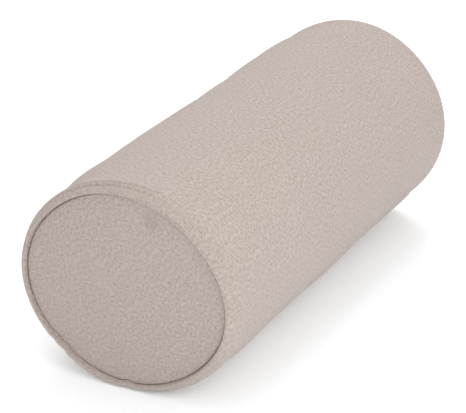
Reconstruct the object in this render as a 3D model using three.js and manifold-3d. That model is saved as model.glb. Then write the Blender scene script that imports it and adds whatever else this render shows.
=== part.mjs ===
// A bolster pillow: a stuffed insert inside a woven cover that closes with a zip.
// The roll lies along X on the plane z = 0, with its near end at -X and the zip at the back, +Y.
// Cloth, thread and stuffing follow the soft outline of the resting roll. The zip's hardware is rigid.
import * as THREE from 'three';
import { mergeVertices } from 'three/addons/utils/BufferGeometryUtils.js';
import Module from 'manifold-3d';

const wasm = await Module();
wasm.setup();

// Driving dimensions, in millimetres
const LENGTH = 392.6; // from the crest of one lip to the crest of the other
const HALF_WIDTH = 86.7;
const NEAR_HALF_HEIGHT = 78.4; // the near end has settled more than the far end
const FAR_HALF_HEIGHT = 83.4;
const SAG = 3; // how far the underside is pressed flat
const SIDES = 48; // facets round the roll
const GAP = 0.3; // between two pieces that touch

// The cover's cloth and its end seams
const CLOTH = 1.5;
const SEAM_RECESS = 3.8; // the end seam lies this far behind the lip's crest
const SEAM_INSET = 7.4; // and this far inside the roll's outline
const CREST_INSET = 6; // the lip's crest, inside the outline
const NEAR_SHOULDER = 17.5; // the radius that the lip starts with, where it leaves the tube
const FAR_SHOULDER = 11.8;
const ALLOWANCE = 10;
const ALLOWANCE_CLOTH = 1;
const PANEL_CROWN = 2; // how far the end panel's middle stands out
const THREAD = 0.5;
const SEAM_THREAD_AT = 1; // behind the seam's edge
const SEAM_THREAD_WIDTH = 1.2;
const OVERLOCK_WIDTH = 0.7;

// The insert
const INSERT_INSET = 4.2;
const INSERT_END_INSET = 13.5; // it is narrower at its ends, behind the seam allowances
const LINER = 0.6;
const INSERT_END_GAP = 3; // between the cover's end panel and the insert
const NARROW_BEYOND_ALLOWANCE = 4;
const NARROWING = 12;
const LINER_SEAM_DEPTH = 2;

// The zip: u runs along it, v across it, down the back, and w outwards from the cover's outline
const ZIP_ANGLE = THREE.MathUtils.degToRad(15);
const ZIP_LENGTH = 300;
const OPENING_WIDTH = 10;
const TAPE_WIDTH = 12;
const TAPE_THICKNESS = 0.6;
const COIL_GAP = 1.5;
const COIL_WIDTH = 2.25;
const COIL_HEIGHT = 1.7;
const STITCH_LINE = 7; // from the zip's middle to each row of topstitching
const SLIDER_AT = 140; // where the slider stands when the zip is shut
const SLIDER_LENGTH = 10;
const STOP_LENGTH = 2.5;
const STOP_CLEARANCE = 1; // between the shut slider and the top stops
const TAPE_BEYOND_OPENING = 6;
const BARTACK_LENGTH = 1.5;
const BARTACK_AT = 2; // beyond the opening's end
const SEAM_BEYOND_OPENING = 5; // where the tube's long seam starts

const COLOURS = {
  cover: '#c8bbb3',
  end: '#c2b5ad',
  thread: '#b3a59c',
  tape: '#b9aba2',
  coil: '#aa9c93',
  metal: '#8f8a86',
  label: '#efece6',
  liner: '#f1efea',
  filling: '#fbfaf7',
};
const CLOTH_FINISH = { roughness: 0.95, metalness: 0 };
const NYLON_FINISH = { roughness: 0.6, metalness: 0 };
const METAL_FINISH = { roughness: 0.4, metalness: 0.9 };

const bolster = new THREE.Group();

// ---- The outline of the resting roll ----

function halfHeight(x) {
  return THREE.MathUtils.lerp(NEAR_HALF_HEIGHT, FAR_HALF_HEIGHT, x / LENGTH + 0.5);
}

// A point inside the roll: depth is measured inwards from the outline, angle from +Y towards +Z,
// and share runs from the roll's axis, 0, to the layer at that depth, 1. The floor presses the
// layer flat at its own depth, except where a lip, a panel or an allowance stands clear of it.
function inRoll({ x, depth, share = 1, floor = depth }, angle) {
  const height = halfHeight(x);
  const axis = height - SAG;
  const y = (HALF_WIDTH - depth) * Math.cos(angle);
  const z = Math.max(axis + (height - depth) * Math.sin(angle), floor);
  return new THREE.Vector3(x, share * y, axis + share * (z - axis));
}

// ---- Making meshes ----

function closedGeometry(positions, triangles) {
  const geometry = new THREE.BufferGeometry();
  geometry.setAttribute('position', new THREE.Float32BufferAttribute(positions, 3));
  geometry.setIndex(triangles);
  const merged = mergeVertices(geometry, 1e-3);
  const index = Array.from(merged.index.array);
  const kept = [];
  for (let i = 0; i < index.length; i += 3) {
    const [a, b, c] = index.slice(i, i + 3);
    if (a !== b && b !== c && c !== a) kept.push(a, b, c);
  }
  merged.setIndex(kept);
  return merged;
}

// A solid swept once round the roll. The profile is a closed loop of points, or runs from the axis
// back to the axis. It goes towards +X along the outside of the solid and back along the inside.
function sweptRound(profile) {
  const positions = [];
  const triangles = [];
  const count = profile.length;
  for (let side = 0; side < SIDES; side++) {
    const angle = (2 * Math.PI * side) / SIDES;
    for (const point of profile) positions.push(...inRoll(point, angle).toArray());
  }
  for (let side = 0; side < SIDES; side++) {
    const here = side * count;
    const next = ((side + 1) % SIDES) * count;
    for (let i = 0; i < count; i++) {
      const j = (i + 1) % count;
      const [a, b, c, d] = [here + i, next + i, next + j, here + j];
      // One diagonal for every layer, so that nested layers keep their gap where a facet is twisted
      if (profile[j].x >= profile[i].x) triangles.push(a, c, d, a, b, c);
      else triangles.push(a, b, d, b, c, d);
    }
  }
  return closedGeometry(positions, triangles);
}

// A strip that lies in the roll's surface along the zip, bent round with it.
function stripOnRoll({ u, v, w, thickness, length, width, across = 1 }) {
  const geometry = new THREE.BoxGeometry(length, width, thickness, 1, across, 1);
  geometry.translate(u, v, w);
  geometry.deleteAttribute('normal');
  geometry.deleteAttribute('uv');
  const position = geometry.getAttribute('position');
  for (let i = 0; i < position.count; i++) {
    const angle = ZIP_ANGLE - position.getY(i) / zipRadius;
    const point = inRoll({ x: position.getX(i), depth: -position.getZ(i) }, angle);
    position.setXYZ(i, point.x, point.y, point.z);
  }
  return mergeVertices(geometry, 1e-3);
}

function block(u0, u1, v0, v1, w0, w1) {
  const geometry = new THREE.BoxGeometry(u1 - u0, v1 - v0, w1 - w0);
  geometry.translate((u0 + u1) / 2, (v0 + v1) / 2, (w0 + w1) / 2);
  return geometry;
}

function toSolid(geometry) {
  const plain = geometry.clone();
  plain.deleteAttribute('normal');
  plain.deleteAttribute('uv');
  const merged = mergeVertices(plain, 1e-3);
  return new wasm.Manifold(new wasm.Mesh({
    numProp: 3,
    vertProperties: merged.getAttribute('position').array,
    triVerts: new Uint32Array(merged.index.array),
  }));
}

function fromSolid(solid) {
  const { vertProperties, triVerts } = solid.getMesh();
  const geometry = new THREE.BufferGeometry();
  geometry.setAttribute('position', new THREE.Float32BufferAttribute(vertProperties, 3));
  geometry.setIndex(Array.from(triVerts));
  return geometry;
}

function joined(...geometries) {
  return fromSolid(geometries.map(toSolid).reduce((sum, solid) => sum.add(solid)));
}

function add(parent, name, geometry, colour, finish = CLOTH_FINISH) {
  geometry.computeVertexNormals();
  const material = new THREE.MeshStandardMaterial({ color: colour, ...finish });
  const mesh = new THREE.Mesh(geometry, material);
  mesh.name = name;
  parent.add(mesh);
  return mesh;
}

// ---- The zip's own frame, on the outline at the back: u along the zip, v down, w square to the cover ----

const zipMiddle = inRoll({ x: 0, depth: 0 }, ZIP_ANGLE);
const middleHeight = halfHeight(0);
const zipRadius = Math.hypot(HALF_WIDTH * Math.sin(ZIP_ANGLE), middleHeight * Math.cos(ZIP_ANGLE));
const alongZip = inRoll({ x: 1, depth: 0 }, ZIP_ANGLE).sub(zipMiddle).normalize();
const downCover = new THREE.Vector3(
  0, HALF_WIDTH * Math.sin(ZIP_ANGLE), -middleHeight * Math.cos(ZIP_ANGLE),
);
downCover.addScaledVector(alongZip, -downCover.dot(alongZip)).normalize();
const outwards = new THREE.Vector3().crossVectors(alongZip, downCover);

const frame = new THREE.Matrix4();
frame.makeBasis(alongZip, downCover, outwards).setPosition(zipMiddle);
const zip = new THREE.Group();
zip.applyMatrix4(frame);
bolster.add(zip);

// ---- The cover ----

const END_X = LENGTH / 2;

// Both ends are made at +X or -X by the sign of the end. Inwards is towards the roll's middle.
const ENDS = [
  { name: 'near', side: -1, shoulder: NEAR_SHOULDER },
  { name: 'far', side: 1, shoulder: FAR_SHOULDER },
];

function fromEnd(side, distance) {
  return side * (END_X - distance);
}

// Where a shoulder's arc runs, as distance from the lip's crest and depth, at a thickness inside it.
const ARC_STEPS = 3;
const ARC_END = Math.PI / 4; // the arc stops here, and the lip's nose begins
const NOSE_REACH = 0.6; // from the arc's end to the crest

function onShoulder(shoulder, inside, step) {
  const turn = (ARC_END * step) / ARC_STEPS;
  const radius = shoulder - inside;
  const crest = shoulder * (1 - Math.sin(ARC_END)) - NOSE_REACH;
  return {
    behind: shoulder - radius * Math.sin(turn) - crest,
    depth: shoulder - radius * Math.cos(turn),
  };
}

// The lip's nose from the seam to its crest: behind is the distance behind the crest.
const NOSE = [
  { behind: SEAM_RECESS, depth: SEAM_INSET },
  { behind: 1.9, depth: 7.25 },
  { behind: 0.6, depth: 6.8 },
  { behind: 0, depth: CREST_INSET },
];

// Round the lip from the seam to the shoulder, on its outside.
function lipOutside({ side, shoulder }) {
  const points = [...NOSE];
  for (let step = ARC_STEPS; step >= 0; step--) points.push(onShoulder(shoulder, 0, step));
  return points.map(({ behind, depth }) => ({ x: fromEnd(side, behind), depth, floor: 0 }));
}

// The same on its inside, from the allowance to the shoulder.
function lipInside({ side, shoulder }) {
  const points = [{ behind: SEAM_RECESS, depth: SEAM_INSET - ALLOWANCE_CLOTH }];
  for (let step = ARC_STEPS; step >= 0; step--) points.push(onShoulder(shoulder, CLOTH, step));
  return points.map(({ behind, depth }) => ({ x: fromEnd(side, behind), depth, floor: CLOTH }));
}

function coverBody() {
  const [near, far] = ENDS;
  const tip = (side, depth) => ({ x: fromEnd(side, SEAM_RECESS + ALLOWANCE), depth, floor: 0 });
  const outside = SEAM_INSET;
  const inside = SEAM_INSET - ALLOWANCE_CLOTH;
  const loop = [
    tip(near.side, outside),
    ...lipOutside(near),
    ...lipOutside(far).reverse(),
    tip(far.side, outside),
    tip(far.side, inside),
    ...lipInside(far),
    ...lipInside(near).reverse(),
    tip(near.side, inside),
  ];
  return sweptRound(loop);
}

const OPENING_DEPTH = 4 * CLOTH;
const opening = stripOnRoll({
  u: 0, v: 0, w: -CLOTH, thickness: OPENING_DEPTH, length: ZIP_LENGTH, width: OPENING_WIDTH, across: 4,
});
const body = toSolid(coverBody());
add(bolster, 'cover_body', fromSolid(body.subtract(toSolid(opening))), COLOURS.cover);

const THREAD_INSET = SEAM_INSET + GAP;
const FLANGE_INSET = THREAD_INSET + THREAD + GAP;

// The ring between the middle and the rim that carries the crown, as a share of the radius.
const CROWN_RING = 0.55;

// A round panel, gently crowned, whose edge turns in beside the body panel's allowance.
function coverEnd({ side }) {
  const rim = FLANGE_INSET;
  const face = SEAM_RECESS;
  const tip = SEAM_RECESS + ALLOWANCE;
  const shares = [0, CROWN_RING];
  const crowned = (at, share) => ({
    x: fromEnd(side, at - PANEL_CROWN * (1 - share * share)), depth: rim, share, floor: 0,
  });
  const profile = [
    ...shares.map((share) => crowned(face, share)),
    { x: fromEnd(side, face), depth: rim, floor: 0 },
    { x: fromEnd(side, tip), depth: rim, floor: 0 },
    { x: fromEnd(side, tip), depth: rim + ALLOWANCE_CLOTH, floor: 0 },
    { x: fromEnd(side, face + CLOTH), depth: rim + ALLOWANCE_CLOTH, floor: 0 },
    ...shares.map((share) => crowned(face + CLOTH, share)).reverse(),
  ];
  return sweptRound(side < 0 ? profile : profile.reverse());
}

// A ring of thread or binding with a rectangular section.
function threadRing(side, near, far, shallow, deep) {
  const profile = [
    { x: fromEnd(side, near), depth: shallow, floor: 0 },
    { x: fromEnd(side, far), depth: shallow, floor: 0 },
    { x: fromEnd(side, far), depth: deep, floor: 0 },
    { x: fromEnd(side, near), depth: deep, floor: 0 },
  ];
  return sweptRound(side < 0 ? profile : profile.reverse());
}

for (const end of ENDS) {
  const tip = SEAM_RECESS + ALLOWANCE;
  add(bolster, `cover_end_${end.name}`, coverEnd(end), COLOURS.end);
  add(
    bolster, `end_seam_thread_${end.name}`,
    threadRing(
      end.side, SEAM_RECESS + SEAM_THREAD_AT, SEAM_RECESS + SEAM_THREAD_AT + SEAM_THREAD_WIDTH,
      THREAD_INSET, THREAD_INSET + THREAD,
    ),
    COLOURS.thread,
  );
  add(
    bolster, `end_overlock_${end.name}`,
    threadRing(
      end.side, tip + GAP, tip + GAP + OVERLOCK_WIDTH,
      SEAM_INSET - ALLOWANCE_CLOTH, FLANGE_INSET + ALLOWANCE_CLOTH,
    ),
    COLOURS.thread,
  );
}

const BEYOND_ZIP = ZIP_LENGTH / 2 + SEAM_BEYOND_OPENING;
const LONG_SEAM_WIDTH = 1;
for (const end of ENDS) {
  const reach = END_X - end.shoulder - BEYOND_ZIP;
  add(
    bolster, `long_seam_thread_${end.name}`,
    stripOnRoll({
      u: end.side * (BEYOND_ZIP + reach / 2), v: 0, w: -CLOTH - GAP - THREAD / 2,
      thickness: THREAD, length: reach, width: LONG_SEAM_WIDTH,
    }),
    COLOURS.thread,
  );
}

const LABEL = { length: 30, width: 22, thickness: 0.3, u: -100, v: 28, below: 1.2 };
add(
  bolster, 'care_label',
  stripOnRoll({
    u: LABEL.u, v: LABEL.v, w: -CLOTH - LABEL.below,
    thickness: LABEL.thickness, length: LABEL.length, width: LABEL.width, across: 2,
  }),
  COLOURS.label,
);

// ---- The zip ----

const TAPE_W = -CLOTH - GAP - TAPE_THICKNESS / 2;
const TAPE_TOP = -CLOTH - GAP;
const COIL_W = TAPE_TOP + GAP + COIL_HEIGHT / 2;
const COIL_V = (COIL_GAP + COIL_WIDTH) / 2;
const SLIDER_FRONT = SLIDER_AT + SLIDER_LENGTH / 2;
const TOP_STOP_AT = SLIDER_FRONT + STOP_CLEARANCE + STOP_LENGTH / 2;
const BOTTOM_STOP_AT = -ZIP_LENGTH / 2 + STOP_LENGTH / 2 + GAP;
const COIL_START = BOTTOM_STOP_AT + STOP_LENGTH / 2 + GAP;
const COIL_END = TOP_STOP_AT - STOP_LENGTH / 2 - GAP;
const TAPE_LENGTH = ZIP_LENGTH + 2 * TAPE_BEYOND_OPENING;

for (const { name, side } of [{ name: 'upper', side: -1 }, { name: 'lower', side: 1 }]) {
  add(
    bolster, `zip_tape_${name}`,
    stripOnRoll({
      u: 0, v: side * (COIL_GAP + TAPE_WIDTH) / 2, w: TAPE_W,
      thickness: TAPE_THICKNESS, length: TAPE_LENGTH, width: TAPE_WIDTH, across: 3,
    }),
    COLOURS.tape,
  );
  add(
    bolster, `zip_coil_${name}`,
    stripOnRoll({
      u: (COIL_START + COIL_END) / 2, v: side * COIL_V, w: COIL_W,
      thickness: COIL_HEIGHT, length: COIL_END - COIL_START, width: COIL_WIDTH,
    }),
    COLOURS.coil, NYLON_FINISH,
  );
  add(
    bolster, `zip_stitching_${name}`,
    stripOnRoll({
      u: 0, v: side * STITCH_LINE, w: GAP + THREAD / 2,
      thickness: THREAD, length: ZIP_LENGTH, width: THREAD,
    }),
    COLOURS.thread,
  );
  add(
    bolster, `zip_stop_top_${name}`,
    stripOnRoll({
      u: TOP_STOP_AT, v: side * (COIL_V + GAP), w: COIL_W,
      thickness: COIL_HEIGHT, length: STOP_LENGTH, width: COIL_WIDTH,
    }),
    COLOURS.metal, METAL_FINISH,
  );
}
add(
  bolster, 'zip_stop_bottom',
  stripOnRoll({
    u: BOTTOM_STOP_AT, v: 0, w: COIL_W,
    thickness: COIL_HEIGHT, length: STOP_LENGTH, width: COIL_GAP + 2 * COIL_WIDTH,
  }),
  COLOURS.metal, METAL_FINISH,
);
for (const end of ENDS) {
  add(
    bolster, `zip_bartack_${end.name}`,
    stripOnRoll({
      u: end.side * (ZIP_LENGTH / 2 + BARTACK_AT), v: 0, w: GAP + THREAD / 2,
      thickness: THREAD, length: BARTACK_LENGTH, width: 2 * STITCH_LINE, across: 2,
    }),
    COLOURS.thread,
  );
}

// The slider's plates lie over and under the chain, joined by the divider that stands between the
// rows. Its bridge carries the pull tab on an eye.
const UPPER_PLATE = [0.5, 1.7];
const LOWER_PLATE = [-3.8, -2.8];
const SLIDER_HALF_WIDTH = 4.4;
const FLANGE_WIDTH = 1.1;
const RAIL_LOW = -1.4;
const DIVIDER = { halfWidth: 0.35, from: 1, to: 4 };
const BRIDGE = { halfLength: 3.2, halfWidth: 0.7, post: 1, low: 1.2, eyeTop: 3.4, top: 4.2 };
const PULL_AXIS_W = 2.55;

function slider() {
  const half = SLIDER_LENGTH / 2;
  const inner = SLIDER_HALF_WIDTH - FLANGE_WIDTH;
  const { halfLength, halfWidth, post, low, eyeTop, top } = BRIDGE;
  const parts = [
    block(-half, half, -SLIDER_HALF_WIDTH, SLIDER_HALF_WIDTH, ...UPPER_PLATE),
    block(-half, half, -SLIDER_HALF_WIDTH, SLIDER_HALF_WIDTH, ...LOWER_PLATE),
    block(
      DIVIDER.from, DIVIDER.to, -DIVIDER.halfWidth, DIVIDER.halfWidth, LOWER_PLATE[0], UPPER_PLATE[1],
    ),
    block(-halfLength, -halfLength + post, -halfWidth, halfWidth, low, top),
    block(halfLength - post, halfLength, -halfWidth, halfWidth, low, top),
    block(-halfLength, halfLength, -halfWidth, halfWidth, eyeTop, top),
  ];
  for (const side of [-1, 1]) {
    const v = [side * inner, side * SLIDER_HALF_WIDTH].sort((a, b) => a - b);
    parts.push(block(-half, half, ...v, RAIL_LOW, UPPER_PLATE[1]));
  }
  return joined(...parts);
}

// A flat tab with a window at its root. The window's end bar turns in the bridge's eye.
const TAB = {
  length: 22, halfWidth: 2.7, halfThickness: 0.5, neck: 8, rootHalfWidth: 2.4,
  window: 4.2, windowHalfWidth: 1.2, bar: 0.5, curveSegments: 8,
};

function pullTab() {
  const { length, halfWidth, halfThickness, neck, rootHalfWidth } = TAB;
  const { window, windowHalfWidth, bar, curveSegments } = TAB;
  const outline = new THREE.Shape();
  outline.moveTo(bar, -rootHalfWidth);
  outline.lineTo(bar, rootHalfWidth);
  outline.lineTo(-neck, rootHalfWidth);
  outline.lineTo(-length + halfWidth, halfWidth);
  outline.absarc(-length + halfWidth, 0, halfWidth, Math.PI / 2, (3 * Math.PI) / 2);
  outline.lineTo(-neck, -rootHalfWidth);
  const hole = new THREE.Path();
  hole.moveTo(-bar, -windowHalfWidth);
  hole.lineTo(-window, -windowHalfWidth);
  hole.lineTo(-window, windowHalfWidth);
  hole.lineTo(-bar, windowHalfWidth);
  outline.holes.push(hole);
  const plate = new THREE.ExtrudeGeometry(outline, {
    depth: 2 * halfThickness, bevelEnabled: false, curveSegments,
  });
  plate.translate(0, 0, -halfThickness);
  return plate;
}

const sliderGroup = new THREE.Group();
sliderGroup.position.x = SLIDER_AT;
zip.add(sliderGroup);
add(sliderGroup, 'zip_slider', slider(), COLOURS.metal, METAL_FINISH);
const tab = add(sliderGroup, 'zip_pull_tab', pullTab(), COLOURS.metal, METAL_FINISH);
tab.position.z = PULL_AXIS_W;

// ---- The insert ----

const LINER_END_AT = SEAM_RECESS + CLOTH + INSERT_END_GAP;
// The liner's tube narrows at both ends, where the cover's seam allowances lie round it.
const NARROW_TO = SEAM_RECESS + ALLOWANCE + NARROW_BEYOND_ALLOWANCE;
const WIDE_FROM = NARROW_TO + NARROWING;

function insertProfile(inside) {
  const end = LINER_END_AT + inside;
  const narrow = INSERT_END_INSET + inside;
  const wide = INSERT_INSET + inside;
  return [
    { x: fromEnd(-1, end), depth: narrow, floor: 0 },
    { x: fromEnd(-1, NARROW_TO), depth: narrow, floor: 0 },
    { x: fromEnd(-1, WIDE_FROM), depth: wide },
    { x: fromEnd(1, WIDE_FROM), depth: wide },
    { x: fromEnd(1, NARROW_TO), depth: narrow, floor: 0 },
    { x: fromEnd(1, end), depth: narrow, floor: 0 },
  ];
}

add(
  bolster, 'liner_body',
  sweptRound([...insertProfile(0), ...insertProfile(LINER).map(
    (point, i) => ({ ...point, x: insertProfile(0)[i].x }),
  ).reverse()]),
  COLOURS.liner,
);

for (const { name, side } of ENDS) {
  const depth = INSERT_END_INSET + LINER + GAP;
  const disc = [
    { x: fromEnd(side, LINER_END_AT), depth, share: 0, floor: 0 },
    { x: fromEnd(side, LINER_END_AT), depth, floor: 0 },
    { x: fromEnd(side, LINER_END_AT + LINER), depth, floor: 0 },
    { x: fromEnd(side, LINER_END_AT + LINER), depth, share: 0, floor: 0 },
  ];
  add(bolster, `liner_end_${name}`, sweptRound(side < 0 ? disc : disc.reverse()), COLOURS.liner);
  const ringAt = LINER_END_AT - GAP;
  add(
    bolster, `liner_seam_thread_${name}`,
    threadRing(side, ringAt - THREAD, ringAt, INSERT_END_INSET, INSERT_END_INSET + LINER_SEAM_DEPTH),
    COLOURS.thread,
  );
}

const CLOSING = { length: 160, width: 1, v: -80 };
add(
  bolster, 'liner_closing_seam',
  stripOnRoll({
    u: 0, v: CLOSING.v, w: -INSERT_INSET + GAP + THREAD,
    thickness: THREAD, length: CLOSING.length, width: CLOSING.width,
  }),
  COLOURS.thread,
);

const fillingLoop = insertProfile(LINER + GAP);
add(
  bolster, 'fibre_filling',
  sweptRound([
    { ...fillingLoop[0], share: 0 },
    ...fillingLoop,
    { ...fillingLoop.at(-1), share: 0 },
  ]),
  COLOURS.filling,
);

export default bolster;
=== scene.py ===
# A round bolster pillow: a firm stuffed roll in a chunky woven cover that closes with a zip.
# The cover is a tube panel with a round panel sewn into each end. The zip lies in the tube's long
# seam, at the back, and the stuffed liner comes out through it for washing.
import math

import bmesh
import bpy
import numpy as np
from mathutils import Matrix, Vector


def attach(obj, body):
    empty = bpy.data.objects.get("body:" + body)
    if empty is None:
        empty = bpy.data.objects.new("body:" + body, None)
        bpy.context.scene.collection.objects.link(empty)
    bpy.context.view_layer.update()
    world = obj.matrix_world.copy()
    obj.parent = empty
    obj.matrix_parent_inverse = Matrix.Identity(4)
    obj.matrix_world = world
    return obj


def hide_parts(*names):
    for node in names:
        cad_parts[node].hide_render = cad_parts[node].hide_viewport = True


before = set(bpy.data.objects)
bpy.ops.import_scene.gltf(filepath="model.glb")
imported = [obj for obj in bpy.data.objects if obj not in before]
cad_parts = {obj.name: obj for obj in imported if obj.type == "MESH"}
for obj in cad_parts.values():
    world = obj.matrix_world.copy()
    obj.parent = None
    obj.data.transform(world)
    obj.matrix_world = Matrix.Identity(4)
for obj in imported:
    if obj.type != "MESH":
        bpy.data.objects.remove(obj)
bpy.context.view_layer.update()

# ---- Cover, tube panel ----
# One rectangle of chunky cotton weave rolled round the insert. Its long edges turn under beside the
# zip, and its ends roll over the end seams as a soft lip. The stuffing keeps it tight, and the
# surface that it lies on presses a narrow strip of it flat.
LENGTH = 0.3926
HALF_WIDTH = 0.0867
NEAR_HALF_HEIGHT = 0.0784
FAR_HALF_HEIGHT = 0.0834
SAG = 0.003
PRESSED_SOFTNESS = 0.0012
CLOTH = 0.0015
SEAM_RECESS = 0.0038
SEAM_INSET = 0.0074
CREST_INSET = 0.006
SHOULDER = {-1: 0.0175, 1: 0.0118}
ARC_END = math.radians(45)
NOSE_REACH = 0.0006
NOSE_PULL = 0.0034
NOSE_LEAN = 0.00085
ALLOWANCE = 0.010
ALLOWANCE_CLOTH = 0.001
ZIP_ANGLE = math.radians(15)
ZIP_LENGTH = 0.300
HALF_OPENING = 0.005
STITCH_LINE = 0.007
STITCH_DIP, STITCH_DIP_REACH = 0.0004, 0.0012


def half_height(x):
    return NEAR_HALF_HEIGHT + (FAR_HALF_HEIGHT - NEAR_HALF_HEIGHT) * (x / LENGTH + 0.5)


def on_roll(x, angle, depth, share=1.0, floor=None):
    """Points in the roll, by place along it, angle from the back over the top, and depth."""
    x, angle, depth, share = np.broadcast_arrays(x, angle, depth, share)
    floor = depth if floor is None else floor
    height = half_height(x)
    axis = height - SAG
    y = (HALF_WIDTH - depth) * np.cos(angle)
    z = axis + (height - depth) * np.sin(angle)
    clear = z - floor
    z = floor + (clear + np.sqrt(clear**2 + PRESSED_SOFTNESS**2)) / 2
    return np.stack([x, share * y, axis + share * (z - axis)], axis=-1)


def bump(value, middle, reach):
    return np.exp(-(((value - middle) / reach) ** 2))


def turn_between(angle, middle):
    """The angle from middle, in degrees, by the short way round."""
    return (np.degrees(angle) - middle + 180) % 360 - 180


def cloth_mesh(name, outer, inner, place, around, pole=False):
    """Closed thick cloth from an outer and an inner grid of points, with its flat place as UVs."""
    rows, cols = outer.shape[:2]
    spans = cols if around else cols - 1
    layers = [outer] if inner is None else [outer, inner]
    points = np.concatenate([layer.reshape(-1, 3) for layer in layers])
    corner = np.arange(rows * cols).reshape(rows, cols)
    r, c = (g.ravel() for g in np.meshgrid(np.arange(rows - 1), np.arange(spans), indexing="ij"))
    ends = [(r, c), (r, c + 1), (r + 1, c + 1), (r + 1, c)]
    quad = np.stack([corner[a, b % cols] for a, b in ends], 1)
    flat = np.stack([place[a, b] for a, b in ends], 1)
    quads, flats = [quad], [flat]
    if inner is not None:
        under = rows * cols
        quads.append(quad[:, ::-1] + under)
        flats.append(flat[:, ::-1])
        for row in [rows - 1] if pole else [0, rows - 1]:
            k = np.arange(spans)
            a, b = corner[row, k], corner[row, (k + 1) % cols]
            rim = np.stack([a, b, b + under, a + under], 1)
            rim_flat = np.stack([place[row, k], place[row, k + 1]] * 2, 1)[:, [0, 1, 3, 2]]
            quads.append(rim[:, ::-1] if row == 0 else rim)
            flats.append(rim_flat[:, ::-1] if row == 0 else rim_flat)
        for col in [] if around else [0, cols - 1]:
            k = np.arange(rows - 1)
            a, b = corner[k, col], corner[k + 1, col]
            rim = np.stack([a, b, b + under, a + under], 1)
            rim_flat = np.stack([place[k, col], place[k + 1, col]] * 2, 1)[:, [0, 1, 3, 2]]
            quads.append(rim if col == 0 else rim[:, ::-1])
            flats.append(rim_flat if col == 0 else rim_flat[:, ::-1])
    quads, flats = np.concatenate(quads), np.concatenate(flats)
    a, b, c, d = (points[quads[:, k]] for k in range(4))
    volume = np.einsum("ij,ij->", a, np.cross(b, c)) + np.einsum("ij,ij->", a, np.cross(c, d))
    if volume < 0:
        quads, flats = quads[:, ::-1], flats[:, ::-1]
    mesh = bpy.data.meshes.new(name)
    mesh.from_pydata(points.tolist(), [], quads.tolist())
    mesh.uv_layers.new(name="cloth").data.foreach_set("uv", flats.astype(np.float32).ravel())
    return settled(mesh)


def settled(mesh, weld=1e-7):
    """Merges doubled points, drops what they leave, and shades smooth."""
    work = bmesh.new()
    work.from_mesh(mesh)
    bmesh.ops.remove_doubles(work, verts=work.verts, dist=weld)
    bmesh.ops.dissolve_degenerate(work, edges=work.edges, dist=weld)
    for face in work.faces:
        face.smooth = True
    work.to_mesh(mesh)
    work.free()
    return mesh


def piece(mesh, body, slot, material, *nodes):
    """A finished piece: it moves with a body and stands for the frame's plain solids."""
    made = bpy.data.objects.new(mesh.name, mesh)
    bpy.context.scene.collection.objects.link(made)
    mesh.materials.clear()
    mesh.materials.append(material)
    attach(made, body)
    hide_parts(*nodes)
    return made


def node(tree, kind, inputs=(), **settings):
    """Adds a node. An input is a value or another node's socket, by its index or name."""
    made = tree.nodes.new(kind)
    for key, value in settings.items():
        setattr(made, key, value)
    for key, value in dict(inputs).items():
        if isinstance(value, bpy.types.NodeSocket):
            tree.links.new(value, made.inputs[key])
        else:
            made.inputs[key].default_value = value
    return made


def maths(tree, operation, *values):
    """One Math node, and what it puts out."""
    return node(tree, "ShaderNodeMath", enumerate(values), operation=operation).outputs[0]


def blended(tree, share, low, high, kind="FLOAT"):
    """What lies between two values, or with kind RGBA between two colours."""
    inputs = {"Factor": share, "A": low, "B": high}
    return node(tree, "ShaderNodeMix", inputs, data_type=kind).outputs["Result"]


def noise_at(tree, place, scale, detail=2.0):
    inputs = {"Vector": place, "Scale": scale, "Detail": detail}
    return node(tree, "ShaderNodeTexNoise", inputs).outputs["Fac"]


def vector(tree, x, y, z=0.0):
    return node(tree, "ShaderNodeCombineXYZ", {"X": x, "Y": y, "Z": z}).outputs[0]


def new_material(name):
    """A new material, with its node tree and its shader."""
    material = bpy.data.materials.new(name)
    material.use_nodes = True
    return material, material.node_tree, material.node_tree.nodes["Principled BSDF"]


def raise_surface(tree, shader, height, distance):
    raised = node(tree, "ShaderNodeBump", {"Height": height, "Distance": distance})
    tree.links.new(raised.outputs[0], shader.inputs["Normal"])


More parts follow.
